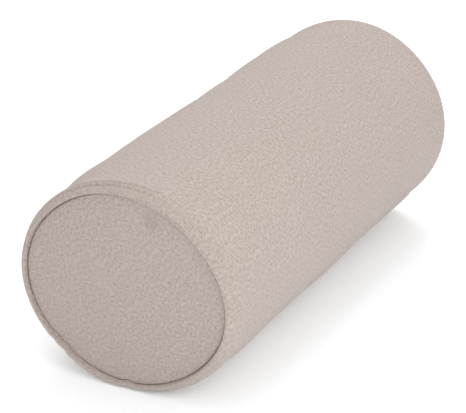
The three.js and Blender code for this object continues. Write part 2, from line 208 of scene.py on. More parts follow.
def woven_cloth_group():
    """A plain weave of uneven yarns: its colour, with painted highlight and shade on the yarns'
    flanks and painted shade in the valleys between them, its relief and its roughness.
    """
    tree = bpy.data.node_groups.new("Woven cloth", "ShaderNodeTree")
    sockets = [
        ("Place", "INPUT", "NodeSocketVector"),
        ("Yarn width", "INPUT", "NodeSocketFloat"),
        ("Flank shading", "INPUT", "NodeSocketFloat"),
        ("Patchiness", "INPUT", "NodeSocketFloat"),
        ("Dark yarn", "INPUT", "NodeSocketColor"),
        ("Light yarn", "INPUT", "NodeSocketColor"),
        ("Colour", "OUTPUT", "NodeSocketColor"),
        ("Relief", "OUTPUT", "NodeSocketFloat"),
        ("Roughness", "OUTPUT", "NodeSocketFloat"),
    ]
    for name, way, kind in sockets:
        tree.interface.new_socket(name, in_out=way, socket_type=kind)
    given = tree.nodes.new("NodeGroupInput").outputs
    count = maths(tree, "DIVIDE", 1.0, given["Yarn width"])
    straight = node(
        tree, "ShaderNodeVectorMath", {0: given["Place"], "Scale": count}, operation="SCALE"
    ).outputs[0]
    # The yarns wander by up to about a yarn's width over a run of some five yarns
    wander = node(
        tree, "ShaderNodeTexNoise", {"Vector": straight, "Scale": 0.2, "Detail": 2.0}
    ).outputs["Color"]
    drift = node(
        tree, "ShaderNodeVectorMath", {0: wander, 1: (2.0, 2.0, 0.0), 2: straight},
        operation="MULTIPLY_ADD",
    ).outputs[0]
    yarn = node(tree, "ShaderNodeSeparateXYZ", {0: drift}).outputs
    x, y = yarn["X"], yarn["Y"]
    warp_number, weft_number = maths(tree, "FLOOR", x), maths(tree, "FLOOR", y)
    crossing = maths(tree, "ADD", warp_number, weft_number)
    weft_on_top = maths(tree, "FLOORED_MODULO", crossing, 2.0)
    over_warp = maths(tree, "SINE", maths(tree, "MULTIPLY", maths(tree, "FRACT", x), math.pi))
    over_weft = maths(tree, "SINE", maths(tree, "MULTIPLY", maths(tree, "FRACT", y), math.pi))
    warp = maths(tree, "MULTIPLY", over_warp, maths(tree, "MULTIPLY_ADD", over_weft, 0.45, 0.55))
    weft = maths(tree, "MULTIPLY", over_weft, maths(tree, "MULTIPLY_ADD", over_warp, 0.45, 0.55))
    hump = blended(tree, weft_on_top, warp, weft)
    # Painted highlight and shade: each strand's colour is painted lighter on one flank and darker
    # on the other, both along and across the cloth, and the same field raises its relief
    flanks = []
    for seed, step in ((0.0, (1.0, 0.0, 0.0)), (37.0, (0.0, 1.0, 0.0))):
        here = node(tree, "ShaderNodeVectorMath", {0: drift, 1: (seed, seed, 0.0)}).outputs[0]
        beside = node(tree, "ShaderNodeVectorMath", {0: here, 1: step}).outputs[0]
        flanks.append(maths(tree, "SUBTRACT", noise_at(tree, here, 0.8, 1.0),
                            noise_at(tree, beside, 0.8, 1.0)))
    flank_shading = maths(tree, "ADD", *flanks)
    fibre = noise_at(tree, drift, 1.6)

    def stretched(along_x, along_y):
        """Fine streaks, as the plies of a twisted yarn leave them."""
        place = vector(tree, maths(tree, "MULTIPLY", x, along_x),
                       maths(tree, "MULTIPLY", y, along_y))
        return noise_at(tree, place, 1.0)

    twist = blended(tree, weft_on_top, stretched(9.0, 2.5), stretched(2.5, 9.0))
    patch = maths(tree, "SUBTRACT", noise_at(tree, given["Place"], 14.0), 0.5)
    # Painted shade: the colour is darker where the yarns dip into the valleys between them, with a
    # faint painted highlight on their crowns
    valley_shade = maths(tree, "SUBTRACT", hump, 0.7)
    tone = maths(tree, "MULTIPLY_ADD", flank_shading, given["Flank shading"], 0.5)
    tone = maths(tree, "MULTIPLY_ADD", patch, given["Patchiness"], tone)
    tone = maths(tree, "MULTIPLY_ADD", valley_shade, 0.16, tone)
    tone = maths(tree, "MULTIPLY_ADD", maths(tree, "SUBTRACT", twist, 0.5), 0.5, tone)
    clean = node(tree, "ShaderNodeClamp", {"Value": tone}).outputs[0]
    colour = blended(tree, clean, given["Dark yarn"], given["Light yarn"], "RGBA")
    relief = maths(tree, "MULTIPLY_ADD", flank_shading, 0.6, maths(tree, "MULTIPLY_ADD", fibre, 0.3, hump))
    relief = maths(tree, "MULTIPLY_ADD", twist, 0.45, relief)
    rough = maths(tree, "MULTIPLY_ADD", fibre, 0.14, 0.82)
    node(tree, "NodeGroupOutput", {"Colour": colour, "Relief": relief, "Roughness": rough})
    return tree


WOVEN = woven_cloth_group()


def cloth_material(name, dark, light, yarn, flank_shading, patchiness, relief, sheen=0.15, turn=0.0):
    """A matt cloth, woven along its own flat place, which may lie at an angle to the grain."""
    material, tree, shader = new_material(name)
    place = node(tree, "ShaderNodeUVMap", uv_map="cloth").outputs[0]
    if turn:
        place = node(
            tree, "ShaderNodeVectorRotate", {"Vector": place, "Angle": turn}, rotation_type="Z_AXIS"
        ).outputs[0]
    # The weave paints highlight and shade on the yarns' flanks, and shade in the valleys between
    # them
    weave = node(tree, "ShaderNodeGroup", {
        "Place": place, "Yarn width": yarn, "Flank shading": flank_shading, "Patchiness": patchiness,
        "Dark yarn": (*dark, 1), "Light yarn": (*light, 1),
    }, node_tree=WOVEN).outputs
    tree.links.new(weave["Colour"], shader.inputs["Base Color"])
    tree.links.new(weave["Roughness"], shader.inputs["Roughness"])
    raise_surface(tree, shader, weave["Relief"], relief)
    shader.inputs["Sheen Weight"].default_value = sheen
    shader.inputs["Sheen Roughness"].default_value = 0.5
    shader.inputs["Specular IOR Level"].default_value = 0.2
    return material


def lip_profile(side, steps=24):
    """From the seam over the lip's nose and up its shoulder, outside and inside the cloth, as
    distance from the crest and depth."""
    radius = SHOULDER[side]
    crest = radius * (1 - math.sin(ARC_END)) - NOSE_REACH
    turn = np.linspace(ARC_END, 0, steps)

    def arc(inside):
        bend = radius - inside
        return np.stack([radius - bend * np.sin(turn) - crest, radius - bend * np.cos(turn)], 1)

    outer, inner = arc(0), arc(CLOTH)
    seam = np.array([SEAM_RECESS, SEAM_INSET])
    t = np.linspace(0, 1, steps + 1)[:-1, None]
    pulls = [seam, seam - (NOSE_PULL, 0), outer[0] + (-NOSE_LEAN, NOSE_LEAN), outer[0]]
    weights = [(1 - t) ** 3, 3 * t * (1 - t) ** 2, 3 * t**2 * (1 - t), t**3]
    nose = sum(w * p for w, p in zip(weights, pulls))
    under = (1 - t) * (seam - (0, ALLOWANCE_CLOTH)) + t * inner[0]
    return np.concatenate([nose, outer]), np.concatenate([under, inner])


def tube_stations(step=0.0031):
    """The x and depth of the tube's rows, from raw edge to raw edge, outside and inside."""
    ends = {}
    for side in (-1, 1):
        back = SEAM_RECESS + ALLOWANCE * np.array([4, 3, 2, 1]) / 4
        outer = np.stack([back, np.full(4, SEAM_INSET)], 1)
        for_side = []
        for edge, lip in zip((outer, outer - (0, ALLOWANCE_CLOTH)), lip_profile(side)):
            rows = np.concatenate([edge, lip])
            rows[:, 0] = side * (LENGTH / 2 - rows[:, 0])
            for_side.append(rows)
        ends[side] = for_side
    start, stop = ends[-1][0][-1, 0], ends[1][0][-1, 0]
    x = np.linspace(start, stop, round((stop - start) / step) + 1)[1:-1]
    stations = []
    for k, depth in enumerate((0, CLOTH)):
        middle = np.stack([x, np.full(len(x), depth)], 1)
        stations.append(np.concatenate([ends[-1][k], middle, ends[1][k][::-1]]))
    return stations


STATIONS, STATIONS_INSIDE = tube_stations()
FIRST_SEAM, LAST_SEAM = 4, len(STATIONS) - 5
ALONG = np.concatenate([[0], np.cumsum(np.hypot(*np.diff(STATIONS, axis=0).T))])
ALONG -= ALONG[FIRST_SEAM]
MEAN_RADIUS = (HALF_WIDTH + NEAR_HALF_HEIGHT) / 2
ZIP_RADIUS = math.hypot(
    HALF_WIDTH * math.sin(ZIP_ANGLE), half_height(0) * math.cos(ZIP_ANGLE)
)

# Soft swells and hollows that the stuffing leaves: their x and angle, the reach of both, and how
# far they stand out
SWELLS = [
    (-0.172, 48, 0.013, 30, -0.0036),
    (-0.190, 286, 0.014, 18, 0.0012),
    (-0.150, 200, 0.030, 24, 0.0012),
    (-0.060, 58, 0.070, 30, 0.0008),
    (-0.020, 205, 0.040, 24, 0.0008),
    (0.120, 50, 0.040, 30, 0.0010),
    (0.150, 205, 0.025, 26, 0.0008),
    (0.178, 60, 0.012, 28, -0.0020),
    (0.188, 96, 0.016, 30, 0.0008),
]
CLEAR_OF_ZIP = 14
# The grooves over the near allowances and the ridge between them: how far they lie behind the lip's
# crest, their reach, and their depth
GROOVES = [(0.0052, 0.0007, 0.0016), (0.0088, 0.0009, 0.0019), (0.0070, 0.0008, -0.0006)]
GROOVES_ANGLE, GROOVES_REACH = 70, 36
# The tucks that sewing left in the near seam: their angle, their reach, and how far they pull it in
TUCKS = [(309, 2.6, 0.0017), (316, 2.0, 0.0014), (269, 2.4, 0.0017)]
SEAM_LOBES = 0.00065
SEAM_FORWARD, FORWARD_ANGLE, FORWARD_REACH = 0.0028, 138, 52


def swell(x, angle):
    out = np.zeros(np.broadcast(x, angle).shape)
    for along, turn, reach, turn_reach, rise in SWELLS:
        out += rise * bump(x, along, reach) * bump(turn_between(angle, turn), 0, turn_reach)
    return out * (1 - bump(turn_between(angle, math.degrees(ZIP_ANGLE)), 0, CLEAR_OF_ZIP))


def allowance_grooves(x, angle):
    """The two soft grooves on the near shoulder, where the allowances' edges show through."""
    behind = LENGTH / 2 + x
    near_top = bump(turn_between(angle, GROOVES_ANGLE), 0, GROOVES_REACH)
    return near_top * sum(deep * bump(behind, at, reach) for at, reach, deep in GROOVES)


def seam_wander(angle, side):
    """How far the end seam strays inwards from its even ring."""
    lobes = -SEAM_LOBES * np.cos(4 * angle)
    if side > 0:
        return 0.6 * lobes
    for turn, reach, inwards in TUCKS:
        lobes = lobes + inwards * bump(turn_between(angle, turn), 0, reach)
    return lobes


def seam_forward(angle, side):
    """How far the near seam sits nearer its lip's crest, at the upper front, where the panel
    is pushed out hardest."""
    return (side < 0) * SEAM_FORWARD * bump(turn_between(angle, FORWARD_ANGLE), 0, FORWARD_REACH)


LIP_REACH = 0.012
RELIEF_FADE = 0.006
EDGE_FOLD = 0.8


def tube_points(angle, relief, stations):
    """The tube's grid of points, outside or inside the cloth."""
    inside = stations is STATIONS_INSIDE
    x, depth = stations[:, :1], stations[:, 1:]
    outside_x = STATIONS[:, :1]
    row = np.arange(len(x))[:, None]
    in_sight = (row > FIRST_SEAM) & (row < LAST_SEAM)
    from_crest = LENGTH / 2 - np.abs(outside_x)
    lip = np.where(in_sight, np.clip(1 - from_crest / LIP_REACH, 0, 1) ** 2, 1)
    stray = np.where(x < 0, seam_wander(angle, -1), seam_wander(angle, 1)) * lip
    grooves = np.where(in_sight, allowance_grooves(outside_x, angle), 0)
    fade = np.clip(np.minimum(ALONG, ALONG[LAST_SEAM] - ALONG) / RELIEF_FADE, 0, 1)[:, None]
    out = (swell(outside_x, angle) + relief) * fade
    v = np.abs((ZIP_ANGLE - angle + math.pi) % (2 * math.pi) - math.pi) * ZIP_RADIUS
    beside_zip = np.abs(outside_x) < ZIP_LENGTH / 2
    sewn = STITCH_DIP * bump(v, STITCH_LINE, STITCH_DIP_REACH) * beside_zip
    from_edge = np.clip(v - half_gap(outside_x), 0, CLOTH)
    folded = CLOTH - np.sqrt(np.maximum(CLOTH**2 - (CLOTH - from_edge) ** 2, 0))
    total = depth + stray + grooves + sewn - out + EDGE_FOLD * folded
    share = np.clip((STATIONS[:, 1:] - CREST_INSET) / (SEAM_INSET - CREST_INSET), 0, 1)
    x = x - np.where(x < 0, share * seam_forward(angle, -1), 0)
    return on_roll(x, angle, total, floor=np.where(in_sight, CLOTH * inside, 0))


SHUT_GAP = 0.0001
SHUT_LEAD, SHUT_LENGTH = 0.001, 0.004


def half_gap(x):
    """Half the slit between the tube's two long edges, which closes beyond the zip."""
    shut = np.clip((np.abs(x) - ZIP_LENGTH / 2 + SHUT_LEAD) / SHUT_LENGTH, 0, 1)
    return HALF_OPENING + (SHUT_GAP - HALF_OPENING) * shut**2 * (3 - 2 * shut)


EDGE_COLUMNS_MM = np.array([0, 0.15, 0.4, 0.8, 1.4, 2.2, 3.3])
NEXT_COLUMN = 0.0047


def tube_angles(x, cols=178):
    """The tube's columns, from one long edge right round to the other, closer at the edges."""
    fine = EDGE_COLUMNS_MM / 1000 / ZIP_RADIUS
    share = np.linspace(0, 1, cols - 2 * len(fine))
    first = half_gap(x) / ZIP_RADIUS
    start = first + NEXT_COLUMN / ZIP_RADIUS
    middle = start + share * (2 * math.pi - 2 * start)
    return ZIP_ANGLE + np.concatenate([first + fine, middle, 2 * math.pi - first - fine[::-1]], 1)


def simulated(mesh, held, pressure, spare, steps=20):
    """Where cloth comes to rest when it is blown out from inside, held where it is sewn."""
    made = bpy.data.objects.new(mesh.name, mesh)
    bpy.context.scene.collection.objects.link(made)
    group = made.vertex_groups.new(name="held")
    for weight in sorted(set(held.tolist())):
        if weight > 0:
            group.add(np.flatnonzero(held == weight).tolist(), weight, "REPLACE")
    cloth = made.modifiers.new("cloth", "CLOTH").settings
    cloth.quality = 6
    cloth.mass = 0.3
    cloth.tension_stiffness = cloth.compression_stiffness = 30
    cloth.shear_stiffness = 10
    cloth.bending_stiffness = 1.5
    cloth.vertex_group_mass = "held"
    cloth.use_pressure = True
    cloth.uniform_pressure_force = pressure
    cloth.shrink_min = -spare
    cloth.effector_weights.gravity = 0
    scene = bpy.context.scene
    for step in range(1, steps + 1):
        scene.frame_set(step)
    seen = made.evaluated_get(bpy.context.evaluated_depsgraph_get()).data
    points = np.zeros(len(seen.vertices) * 3)
    seen.vertices.foreach_get("co", points)
    scene.frame_set(1)
    bpy.data.objects.remove(made)
    return points.reshape(-1, 3)


def smoothed(field, times, around=True):
    for _ in range(times):
        if around:
            field = (np.roll(field, 1, 1) + 2 * field + np.roll(field, -1, 1)) / 4
        rows = np.concatenate([field[:1], field, field[-1:]])
        field = (rows[:-2] + 2 * rows[1:-1] + rows[2:]) / 4
    return field


# The simulated tube is held within this distance of the zip, and where it is this near the floor
HELD_AT_ZIP, HELD_AT_FLOOR = 0.012, 0.0012
ROLL_AXIS = 0.078


def tube_relief(cols=96, spacing=0.0055, cap=0.006):
    """The uneven surface that the simulation finds, on a coarse grid between the end seams."""
    count = round(ALONG[LAST_SEAM] / spacing)
    along = np.linspace(0, ALONG[LAST_SEAM], count)
    turn = np.arange(cols) * 2 * math.pi / cols
    x = np.interp(along, ALONG, STATIONS[:, 0])[:, None]
    depth = np.interp(along, ALONG, STATIONS[:, 1])[:, None]
    points = on_roll(x, turn, depth)
    place = np.zeros((count, cols + 1, 2))
    grid = cloth_mesh("tube_simulated", points, None, place, around=True)
    rest = np.array([point.co for point in grid.vertices])
    normal = np.array([point.normal for point in grid.vertices])
    v = (np.arctan2(rest[:, 2] - ROLL_AXIS, rest[:, 1]) - ZIP_ANGLE) * ZIP_RADIUS
    held = np.zeros(len(rest))
    held[rest[:, 2] < HELD_AT_FLOOR] = 0.6
    held[np.abs(v) < HELD_AT_ZIP] = 0.9
    held[:cols] = held[-cols:] = 1
    found = simulated(grid, held, pressure=4.0, spare=0.012)
    moved = np.einsum("ij,ij->i", found - rest, normal).reshape(count, cols)
    return along, np.clip(moved, -cap, cap)


ALONG_SIM, MOVED = tube_relief()
RELIEF_SHARE, RELIEF_CAP = 0.35, 0.0008


def relief_at(angle):
    """The simulated unevenness at the tube's rows and columns, without its broad swelling."""
    local = smoothed(MOVED - smoothed(MOVED, 60), 2)
    cols = local.shape[1]
    turn = (angle / (2 * math.pi) % 1) * cols
    low = np.floor(turn).astype(int)
    part = turn - low
    row = np.clip(np.interp(ALONG, ALONG_SIM, np.arange(len(ALONG_SIM))), 0, len(ALONG_SIM) - 1.001)
    above = np.floor(row).astype(int)[:, None]
    down = row[:, None] - above
    value = 0
    for i, weight in ((0, 1 - down), (1, down)):
        for j, share in ((0, 1 - part), (1, part)):
            value = value + weight * share * local[above + i, (low + j) % cols]
    return np.clip(RELIEF_SHARE * smoothed(value, 3, around=False), -RELIEF_CAP, RELIEF_CAP)


def tube_cloth():
    angle = tube_angles(STATIONS[:, :1])
    relief = relief_at(angle)
    place = np.stack([np.broadcast_to(ALONG[:, None], angle.shape), angle * MEAN_RADIUS], -1)
    return cloth_mesh(
        "cover_tube", tube_points(angle, relief, STATIONS),
        tube_points(angle, relief, STATIONS_INSIDE), place, around=False,
    )


COVER_DARK, COVER_LIGHT = (0.364, 0.302, 0.268), (0.552, 0.472, 0.427)
cover_cloth = cloth_material(
    "cover cloth", COVER_DARK, COVER_LIGHT,
    yarn=0.0022, flank_shading=0.68, patchiness=0.12, relief=0.0004,
)
tube = piece(tube_cloth(), "bolster", "cover_cloth", cover_cloth, "cover_body")

# ---- Cover, end panels ----
# A round of the same cloth in each end, cut on the bias and stretched nearly flat over the
# stuffing. Its edge turns in beside the tube's allowance, a few millimetres behind the lip.
THREAD_GAP = 0.0005
PANEL_INSET = SEAM_INSET + THREAD_GAP
PANEL_CROWN = 0.002
PANEL_EDGE_RADIUS = 0.0010
PANEL_COLS = 180
DIMPLE = (-0.245, 0.80)
DIMPLE_REACH = 0.07
DIMPLE_DEPTH = 0.0052


def panel_crown(side, rings=20, cols=72):
    """How far the stuffing pushes the panel out, ring by ring: the cloth is blown out, held at its
    edge, and on the near end pinched where the fibre has parted behind it."""
    share = np.linspace(0, 1, rings)[:, None]
    turn = np.arange(cols) * 2 * math.pi / cols
    away = np.hypot(share * np.cos(turn) - DIMPLE[0], share * np.sin(turn) - DIMPLE[1])
    pinch = DIMPLE_DEPTH * (side < 0) * bump(away, 0, DIMPLE_REACH)
    flat = np.stack(np.broadcast_arrays(
        0.0, HALF_WIDTH * share * np.cos(turn), NEAR_HALF_HEIGHT * share * np.sin(turn)), -1)
    grid = cloth_mesh("panel_simulated", flat, None, np.zeros((rings, cols + 1, 2)), around=True)
    rest = np.array([v.co for v in grid.vertices])
    held = np.zeros(len(rest))
    held[np.hypot(rest[:, 1] / HALF_WIDTH, rest[:, 2] / NEAR_HALF_HEIGHT) > 0.97] = 1
    found = np.abs(simulated(grid, held, pressure=4.0, spare=0.008)[:, 0])
    found = np.concatenate([np.full(cols, found[0]), found[-cols * (rings - 1):]])
    blown = smoothed(found.reshape(rings, cols), 1)
    return PANEL_CROWN * blown / blown.max() * (1 - share**12) - pinch


def panel_cloth(name, side):
    """The panel's outer and inner faces, from its middle out to its rim and back along its edge."""
    ring = np.concatenate([np.linspace(0, 0.97, 40), [0.98, 0.99]])
    turn = np.arange(PANEL_COLS + 1) * 2 * math.pi / PANEL_COLS
    crown = panel_crown(side)
    wrap = np.concatenate([crown, crown[:, :1]], 1)
    by_turn = np.stack([
        np.interp(turn, np.linspace(0, 2 * math.pi, wrap.shape[1]), row) for row in wrap])
    lifts = np.stack([
        np.interp(ring, np.linspace(0, 1, len(by_turn)), col) for col in by_turn.T], 1)[:, :-1]
    rows = [(SEAM_RECESS, share) for share in ring]
    for bend in np.linspace(0, math.pi / 2, 6)[1:]:
        rows.append((SEAM_RECESS + PANEL_EDGE_RADIUS * (1 - math.cos(bend)),
                     ring[-1] + (1 - ring[-1]) * math.sin(bend)))
    straight = ALLOWANCE - PANEL_EDGE_RADIUS
    for k in (1, 2, 3):
        rows.append((SEAM_RECESS + PANEL_EDGE_RADIUS + straight * k / 3, 1.0))
    back, share = np.hsplit(np.array(rows), 2)
    angle = turn[None, :-1]
    rise = np.zeros((len(rows), PANEL_COLS))
    rise[: len(ring)] = lifts
    forward = seam_forward(angle, side) * share**6
    x = side * (LENGTH / 2 - back + rise + forward)
    depth = PANEL_INSET + seam_wander(angle, side) * share**4
    outer = on_roll(x, angle, depth, share, floor=0)
    on_edge = back > SEAM_RECESS + PANEL_EDGE_RADIUS * 0.9
    inner_depth = depth + np.where(on_edge, ALLOWANCE_CLOTH, 0.0)
    inner_share = np.where(on_edge, share, share * (1 - ALLOWANCE_CLOTH / HALF_WIDTH))
    inner_x = x - side * np.where(on_edge, 0.0, CLOTH)
    inner_x[-1] = x[-1]
    inner = on_roll(inner_x, angle, inner_depth, inner_share, floor=0)
    flat = on_roll(side * (LENGTH / 2 - back), turn[None, :], PANEL_INSET, share, floor=0)
    return cloth_mesh(name, outer, inner, flat[..., 1:], around=True, pole=True)


bias_cloth = cloth_material(
    "cover cloth, end panel", COVER_DARK, COVER_LIGHT,
    yarn=0.0019, flank_shading=0.72, patchiness=0.12, relief=0.0004, turn=math.radians(48),
)
for side, end in ((-1, "near"), (1, "far")):
    panel = piece(
        panel_cloth(f"cover_panel_{end}", side), "bolster", "cover_cloth", bias_cloth,
        f"cover_end_{end}",
    )

# ---- Stitching of the end seams ----
# Lockstitches of spun polyester, 3 mm long, in the groove between the tube's lip and each panel.
# Inside, an overlock thread loops over the raw edges of both allowances so that they don't fray.
STITCH = 0.003
STITCH_LENGTH = 0.0032
THREAD = 0.0005
SEAM_STITCH_BACK = 0.0008
OVERLOCK_PITCH = 0.0025
OVERLOCK_WIDTH = 0.0036
OVERLOCK_THREAD = 0.00018
OVERLOCK_BACK = ALLOWANCE - 0.0006
PLY_SCALE = 900.0


def thread_material(name, colour):
    """Spun thread: a twisted ply shows as fine slanting ridges."""
    material, tree, shader = new_material(name)
    place = node(tree, "ShaderNodeTexCoord").outputs["Object"]
    ply = node(
        tree, "ShaderNodeTexWave", {"Vector": place, "Scale": PLY_SCALE, "Distortion": 1.5},
        bands_direction="DIAGONAL",
    ).outputs["Fac"]
    dark = [0.8 * c for c in colour]
    shade = blended(tree, ply, (*dark, 1), (*colour, 1), "RGBA")
    tree.links.new(shade, shader.inputs["Base Color"])
    raise_surface(tree, shader, ply, 0.0001)
    shader.inputs["Roughness"].default_value = 0.7
    shader.inputs["Sheen Weight"].default_value = 0.2
    return material


def geometry_tree(name, *sizes):
    """An empty Geometry Nodes tree with named sizes, and its input and output nodes."""
    tree = bpy.data.node_groups.new(name, "GeometryNodeTree")
    tree.interface.new_socket("Geometry", in_out="INPUT", socket_type="NodeSocketGeometry")
    for size in sizes:
        tree.interface.new_socket(size, in_out="INPUT", socket_type="NodeSocketFloat")
    tree.interface.new_socket("Material", in_out="INPUT", socket_type="NodeSocketMaterial")
    tree.interface.new_socket("Geometry", in_out="OUTPUT", socket_type="NodeSocketGeometry")
    return tree, tree.nodes.new("NodeGroupInput").outputs


def ended(tree, geometry, given):
    real = node(tree, "GeometryNodeRealizeInstances", {0: geometry}).outputs[0]
    kept = node(tree, "GeometryNodeSetMaterial", {"Geometry": real, "Material": given["Material"]})
    node(tree, "NodeGroupOutput", {"Geometry": kept.outputs[0]})
    return tree


def spots_along(tree, given):
    line = node(tree, "GeometryNodeMeshToCurve", {"Mesh": given["Geometry"]}).outputs[0]
    return node(
        tree, "GeometryNodeCurveToPoints", {"Curve": line, "Length": given["Pitch"]}, mode="LENGTH"
    ).outputs


def stitch_row_tree():
    """Stitches laid end to end along a line: each one dips into the cloth at both ends."""
    tree, given = geometry_tree("Row of stitches", "Pitch", "Length", "Thickness")
    spots = spots_along(tree, given)
    way = node(tree, "FunctionNodeAlignRotationToVector", {"Vector": spots["Tangent"]}, axis="X")
    bead = node(tree, "GeometryNodeMeshUVSphere", {"Segments": 7, "Rings": 6, "Radius": 0.5})
    size = vector(tree, given["Length"], given["Thickness"], given["Thickness"])
    stitch = node(tree, "GeometryNodeTransform", {"Geometry": bead.outputs[0], "Scale": size})
    row = node(tree, "GeometryNodeInstanceOnPoints", {
        "Points": spots["Points"], "Instance": stitch.outputs[0], "Rotation": way.outputs[0],
    })
    return ended(tree, row.outputs[0], given)


def tube_along(tree, curve, radius, sides, caps=False):
    """A round thread or wire along a curve."""
    circle = {"Resolution": sides, "Radius": radius}
    profile = node(tree, "GeometryNodeCurvePrimitiveCircle", circle).outputs[0]
    inputs = {"Curve": curve, "Profile Curve": profile, "Fill Caps": caps}
    return node(tree, "GeometryNodeCurveToMesh", inputs).outputs[0]


def loop_row_tree():
    """Loops of thread wrapped over an edge, one after the other."""
    tree, given = geometry_tree("Row of loops", "Pitch", "Width", "Height", "Thickness")
    spots = spots_along(tree, given)
    ring = node(tree, "GeometryNodeCurvePrimitiveCircle", {"Resolution": 12, "Radius": 0.5})
    size = vector(tree, given["Width"], given["Height"], 1.0)
    oval = node(tree, "GeometryNodeTransform", {"Geometry": ring.outputs[0], "Scale": size})
    loop = tube_along(tree, oval.outputs[0], given["Thickness"], 4)
    row = node(tree, "GeometryNodeInstanceOnPoints", {
        "Points": spots["Points"], "Instance": loop, "Rotation": spots["Rotation"],
    })
    return ended(tree, row.outputs[0], given)


def grown(name, points, closed, tree, material, **sizes):
    """Runs a tree along a line of points and keeps the plain mesh that comes out."""
    count = len(points)
    edges = [(k, (k + 1) % count) for k in range(count if closed else count - 1)]
    line = bpy.data.meshes.new(name + "_line")
    line.from_pydata([tuple(p) for p in points], edges, [])
    made = bpy.data.objects.new(name + "_line", line)
    bpy.context.scene.collection.objects.link(made)
    modifier = made.modifiers.new("tree", "NODES")
    modifier.node_group = tree
    values = {key.replace("_", " ").capitalize(): value for key, value in sizes.items()}
    values["Material"] = material
    for item in tree.interface.items_tree:
        if item.item_type == "SOCKET" and item.in_out == "INPUT" and item.name in values:
            modifier[item.identifier] = values[item.name]
    seen = made.evaluated_get(bpy.context.evaluated_depsgraph_get())
    mesh = bpy.data.meshes.new_from_object(seen)
    bpy.data.objects.remove(made)
    mesh.name = name
    for face in mesh.polygons:
        face.use_smooth = True
    return mesh


STITCH_ROW, LOOP_ROW = stitch_row_tree(), loop_row_tree()


def sewn_row(name, path, closed, thread, *nodes,
             pitch=STITCH, length=STITCH_LENGTH, thickness=THREAD):
    """A row of stitches along a path, as a piece that stands for the frame's strip of thread."""
    row = grown(name, path, closed, STITCH_ROW, thread,
                pitch=pitch, length=length, thickness=thickness)
    return piece(row, "bolster", "thread", thread, *nodes)


seam_thread = thread_material("seam thread", (0.34, 0.245, 0.21))
edge_thread = thread_material("overlock thread", (0.52, 0.45, 0.41))
for side, end in ((-1, "near"), (1, "far")):
    turn = np.arange(240) * 2 * math.pi / 240
    x = side * (LENGTH / 2 - SEAM_RECESS - SEAM_STITCH_BACK + seam_forward(turn, side))
    depth = SEAM_INSET + THREAD_GAP / 2 + seam_wander(turn, side)
    path = on_roll(x, turn, depth, floor=0)
    sewn_row(f"end_stitches_{end}", path, True, seam_thread, f"end_seam_thread_{end}")
    x = side * (LENGTH / 2 - SEAM_RECESS - OVERLOCK_BACK + seam_forward(turn, side))
    path = on_roll(x, turn, SEAM_INSET + THREAD_GAP / 2, floor=0)
    piece(
        grown(f"overlock_{end}", path, True, LOOP_ROW, edge_thread, pitch=OVERLOCK_PITCH,
              width=OVERLOCK_WIDTH, height=OVERLOCK_WIDTH, thickness=OVERLOCK_THREAD),
        "bolster", "thread", edge_thread, f"end_overlock_{end}",
    )

# ---- Long seam, beyond the zip ----
# The same lockstitch closes the tube's two long edges between the zip and each end.
LONG_SEAM_FROM = ZIP_LENGTH / 2 + 0.005
LONG_SEAM_TO = LENGTH / 2 - 0.0125
LONG_SEAM_DEPTH = CLOTH + 0.0005


def on_zip(u, v, w):
    """A point on the back of the roll: u along the zip, v down the cover, w outwards."""
    return on_roll(u, ZIP_ANGLE - np.asarray(v) / ZIP_RADIUS, -np.asarray(w, dtype=float))


for side, end in ((-1, "near"), (1, "far")):
    u = np.linspace(side * LONG_SEAM_FROM, side * LONG_SEAM_TO, 30)
    path = on_zip(u, 0, -LONG_SEAM_DEPTH)
    sewn_row(f"long_seam_stitches_{end}", path, False, seam_thread, f"long_seam_thread_{end}")

# ---- Care label ----
# A blank satin label, 30 x 22 mm, caught under the lower zip tape inside the cover.
LABEL_PLACE = (-0.100, 0.028)
LABEL_SIZE = (0.030, 0.022)
LABEL_THICKNESS = 0.00025
LABEL_DEPTH, LABEL_CURL, LABEL_WAVES = 0.0026, 0.0002, 400


def strip_points(u, v, w, thick):
    """The two faces of a strip that lies on the roll's back."""
    return on_zip(u, v, w), on_zip(u, v, w - thick)


u, v = np.meshgrid(
    LABEL_PLACE[0] + LABEL_SIZE[0] * np.linspace(-0.5, 0.5, 31),
    LABEL_PLACE[1] + LABEL_SIZE[1] * np.linspace(-0.5, 0.5, 23), indexing="ij",
)
curl = LABEL_CURL * np.sin((u - LABEL_PLACE[0]) * LABEL_WAVES) - LABEL_DEPTH
label = cloth_mesh(
    "blank_label", *strip_points(u, v, curl, LABEL_THICKNESS), np.stack([u, v], -1), around=False,
)
label_satin = cloth_material(
    "label satin", (0.74, 0.72, 0.68), (0.9, 0.88, 0.84), yarn=0.00025, flank_shading=0.5,
    patchiness=0.1, relief=0.00005, sheen=0.4,
)
label = piece(label, "bolster", "label", label_satin, "care_label")

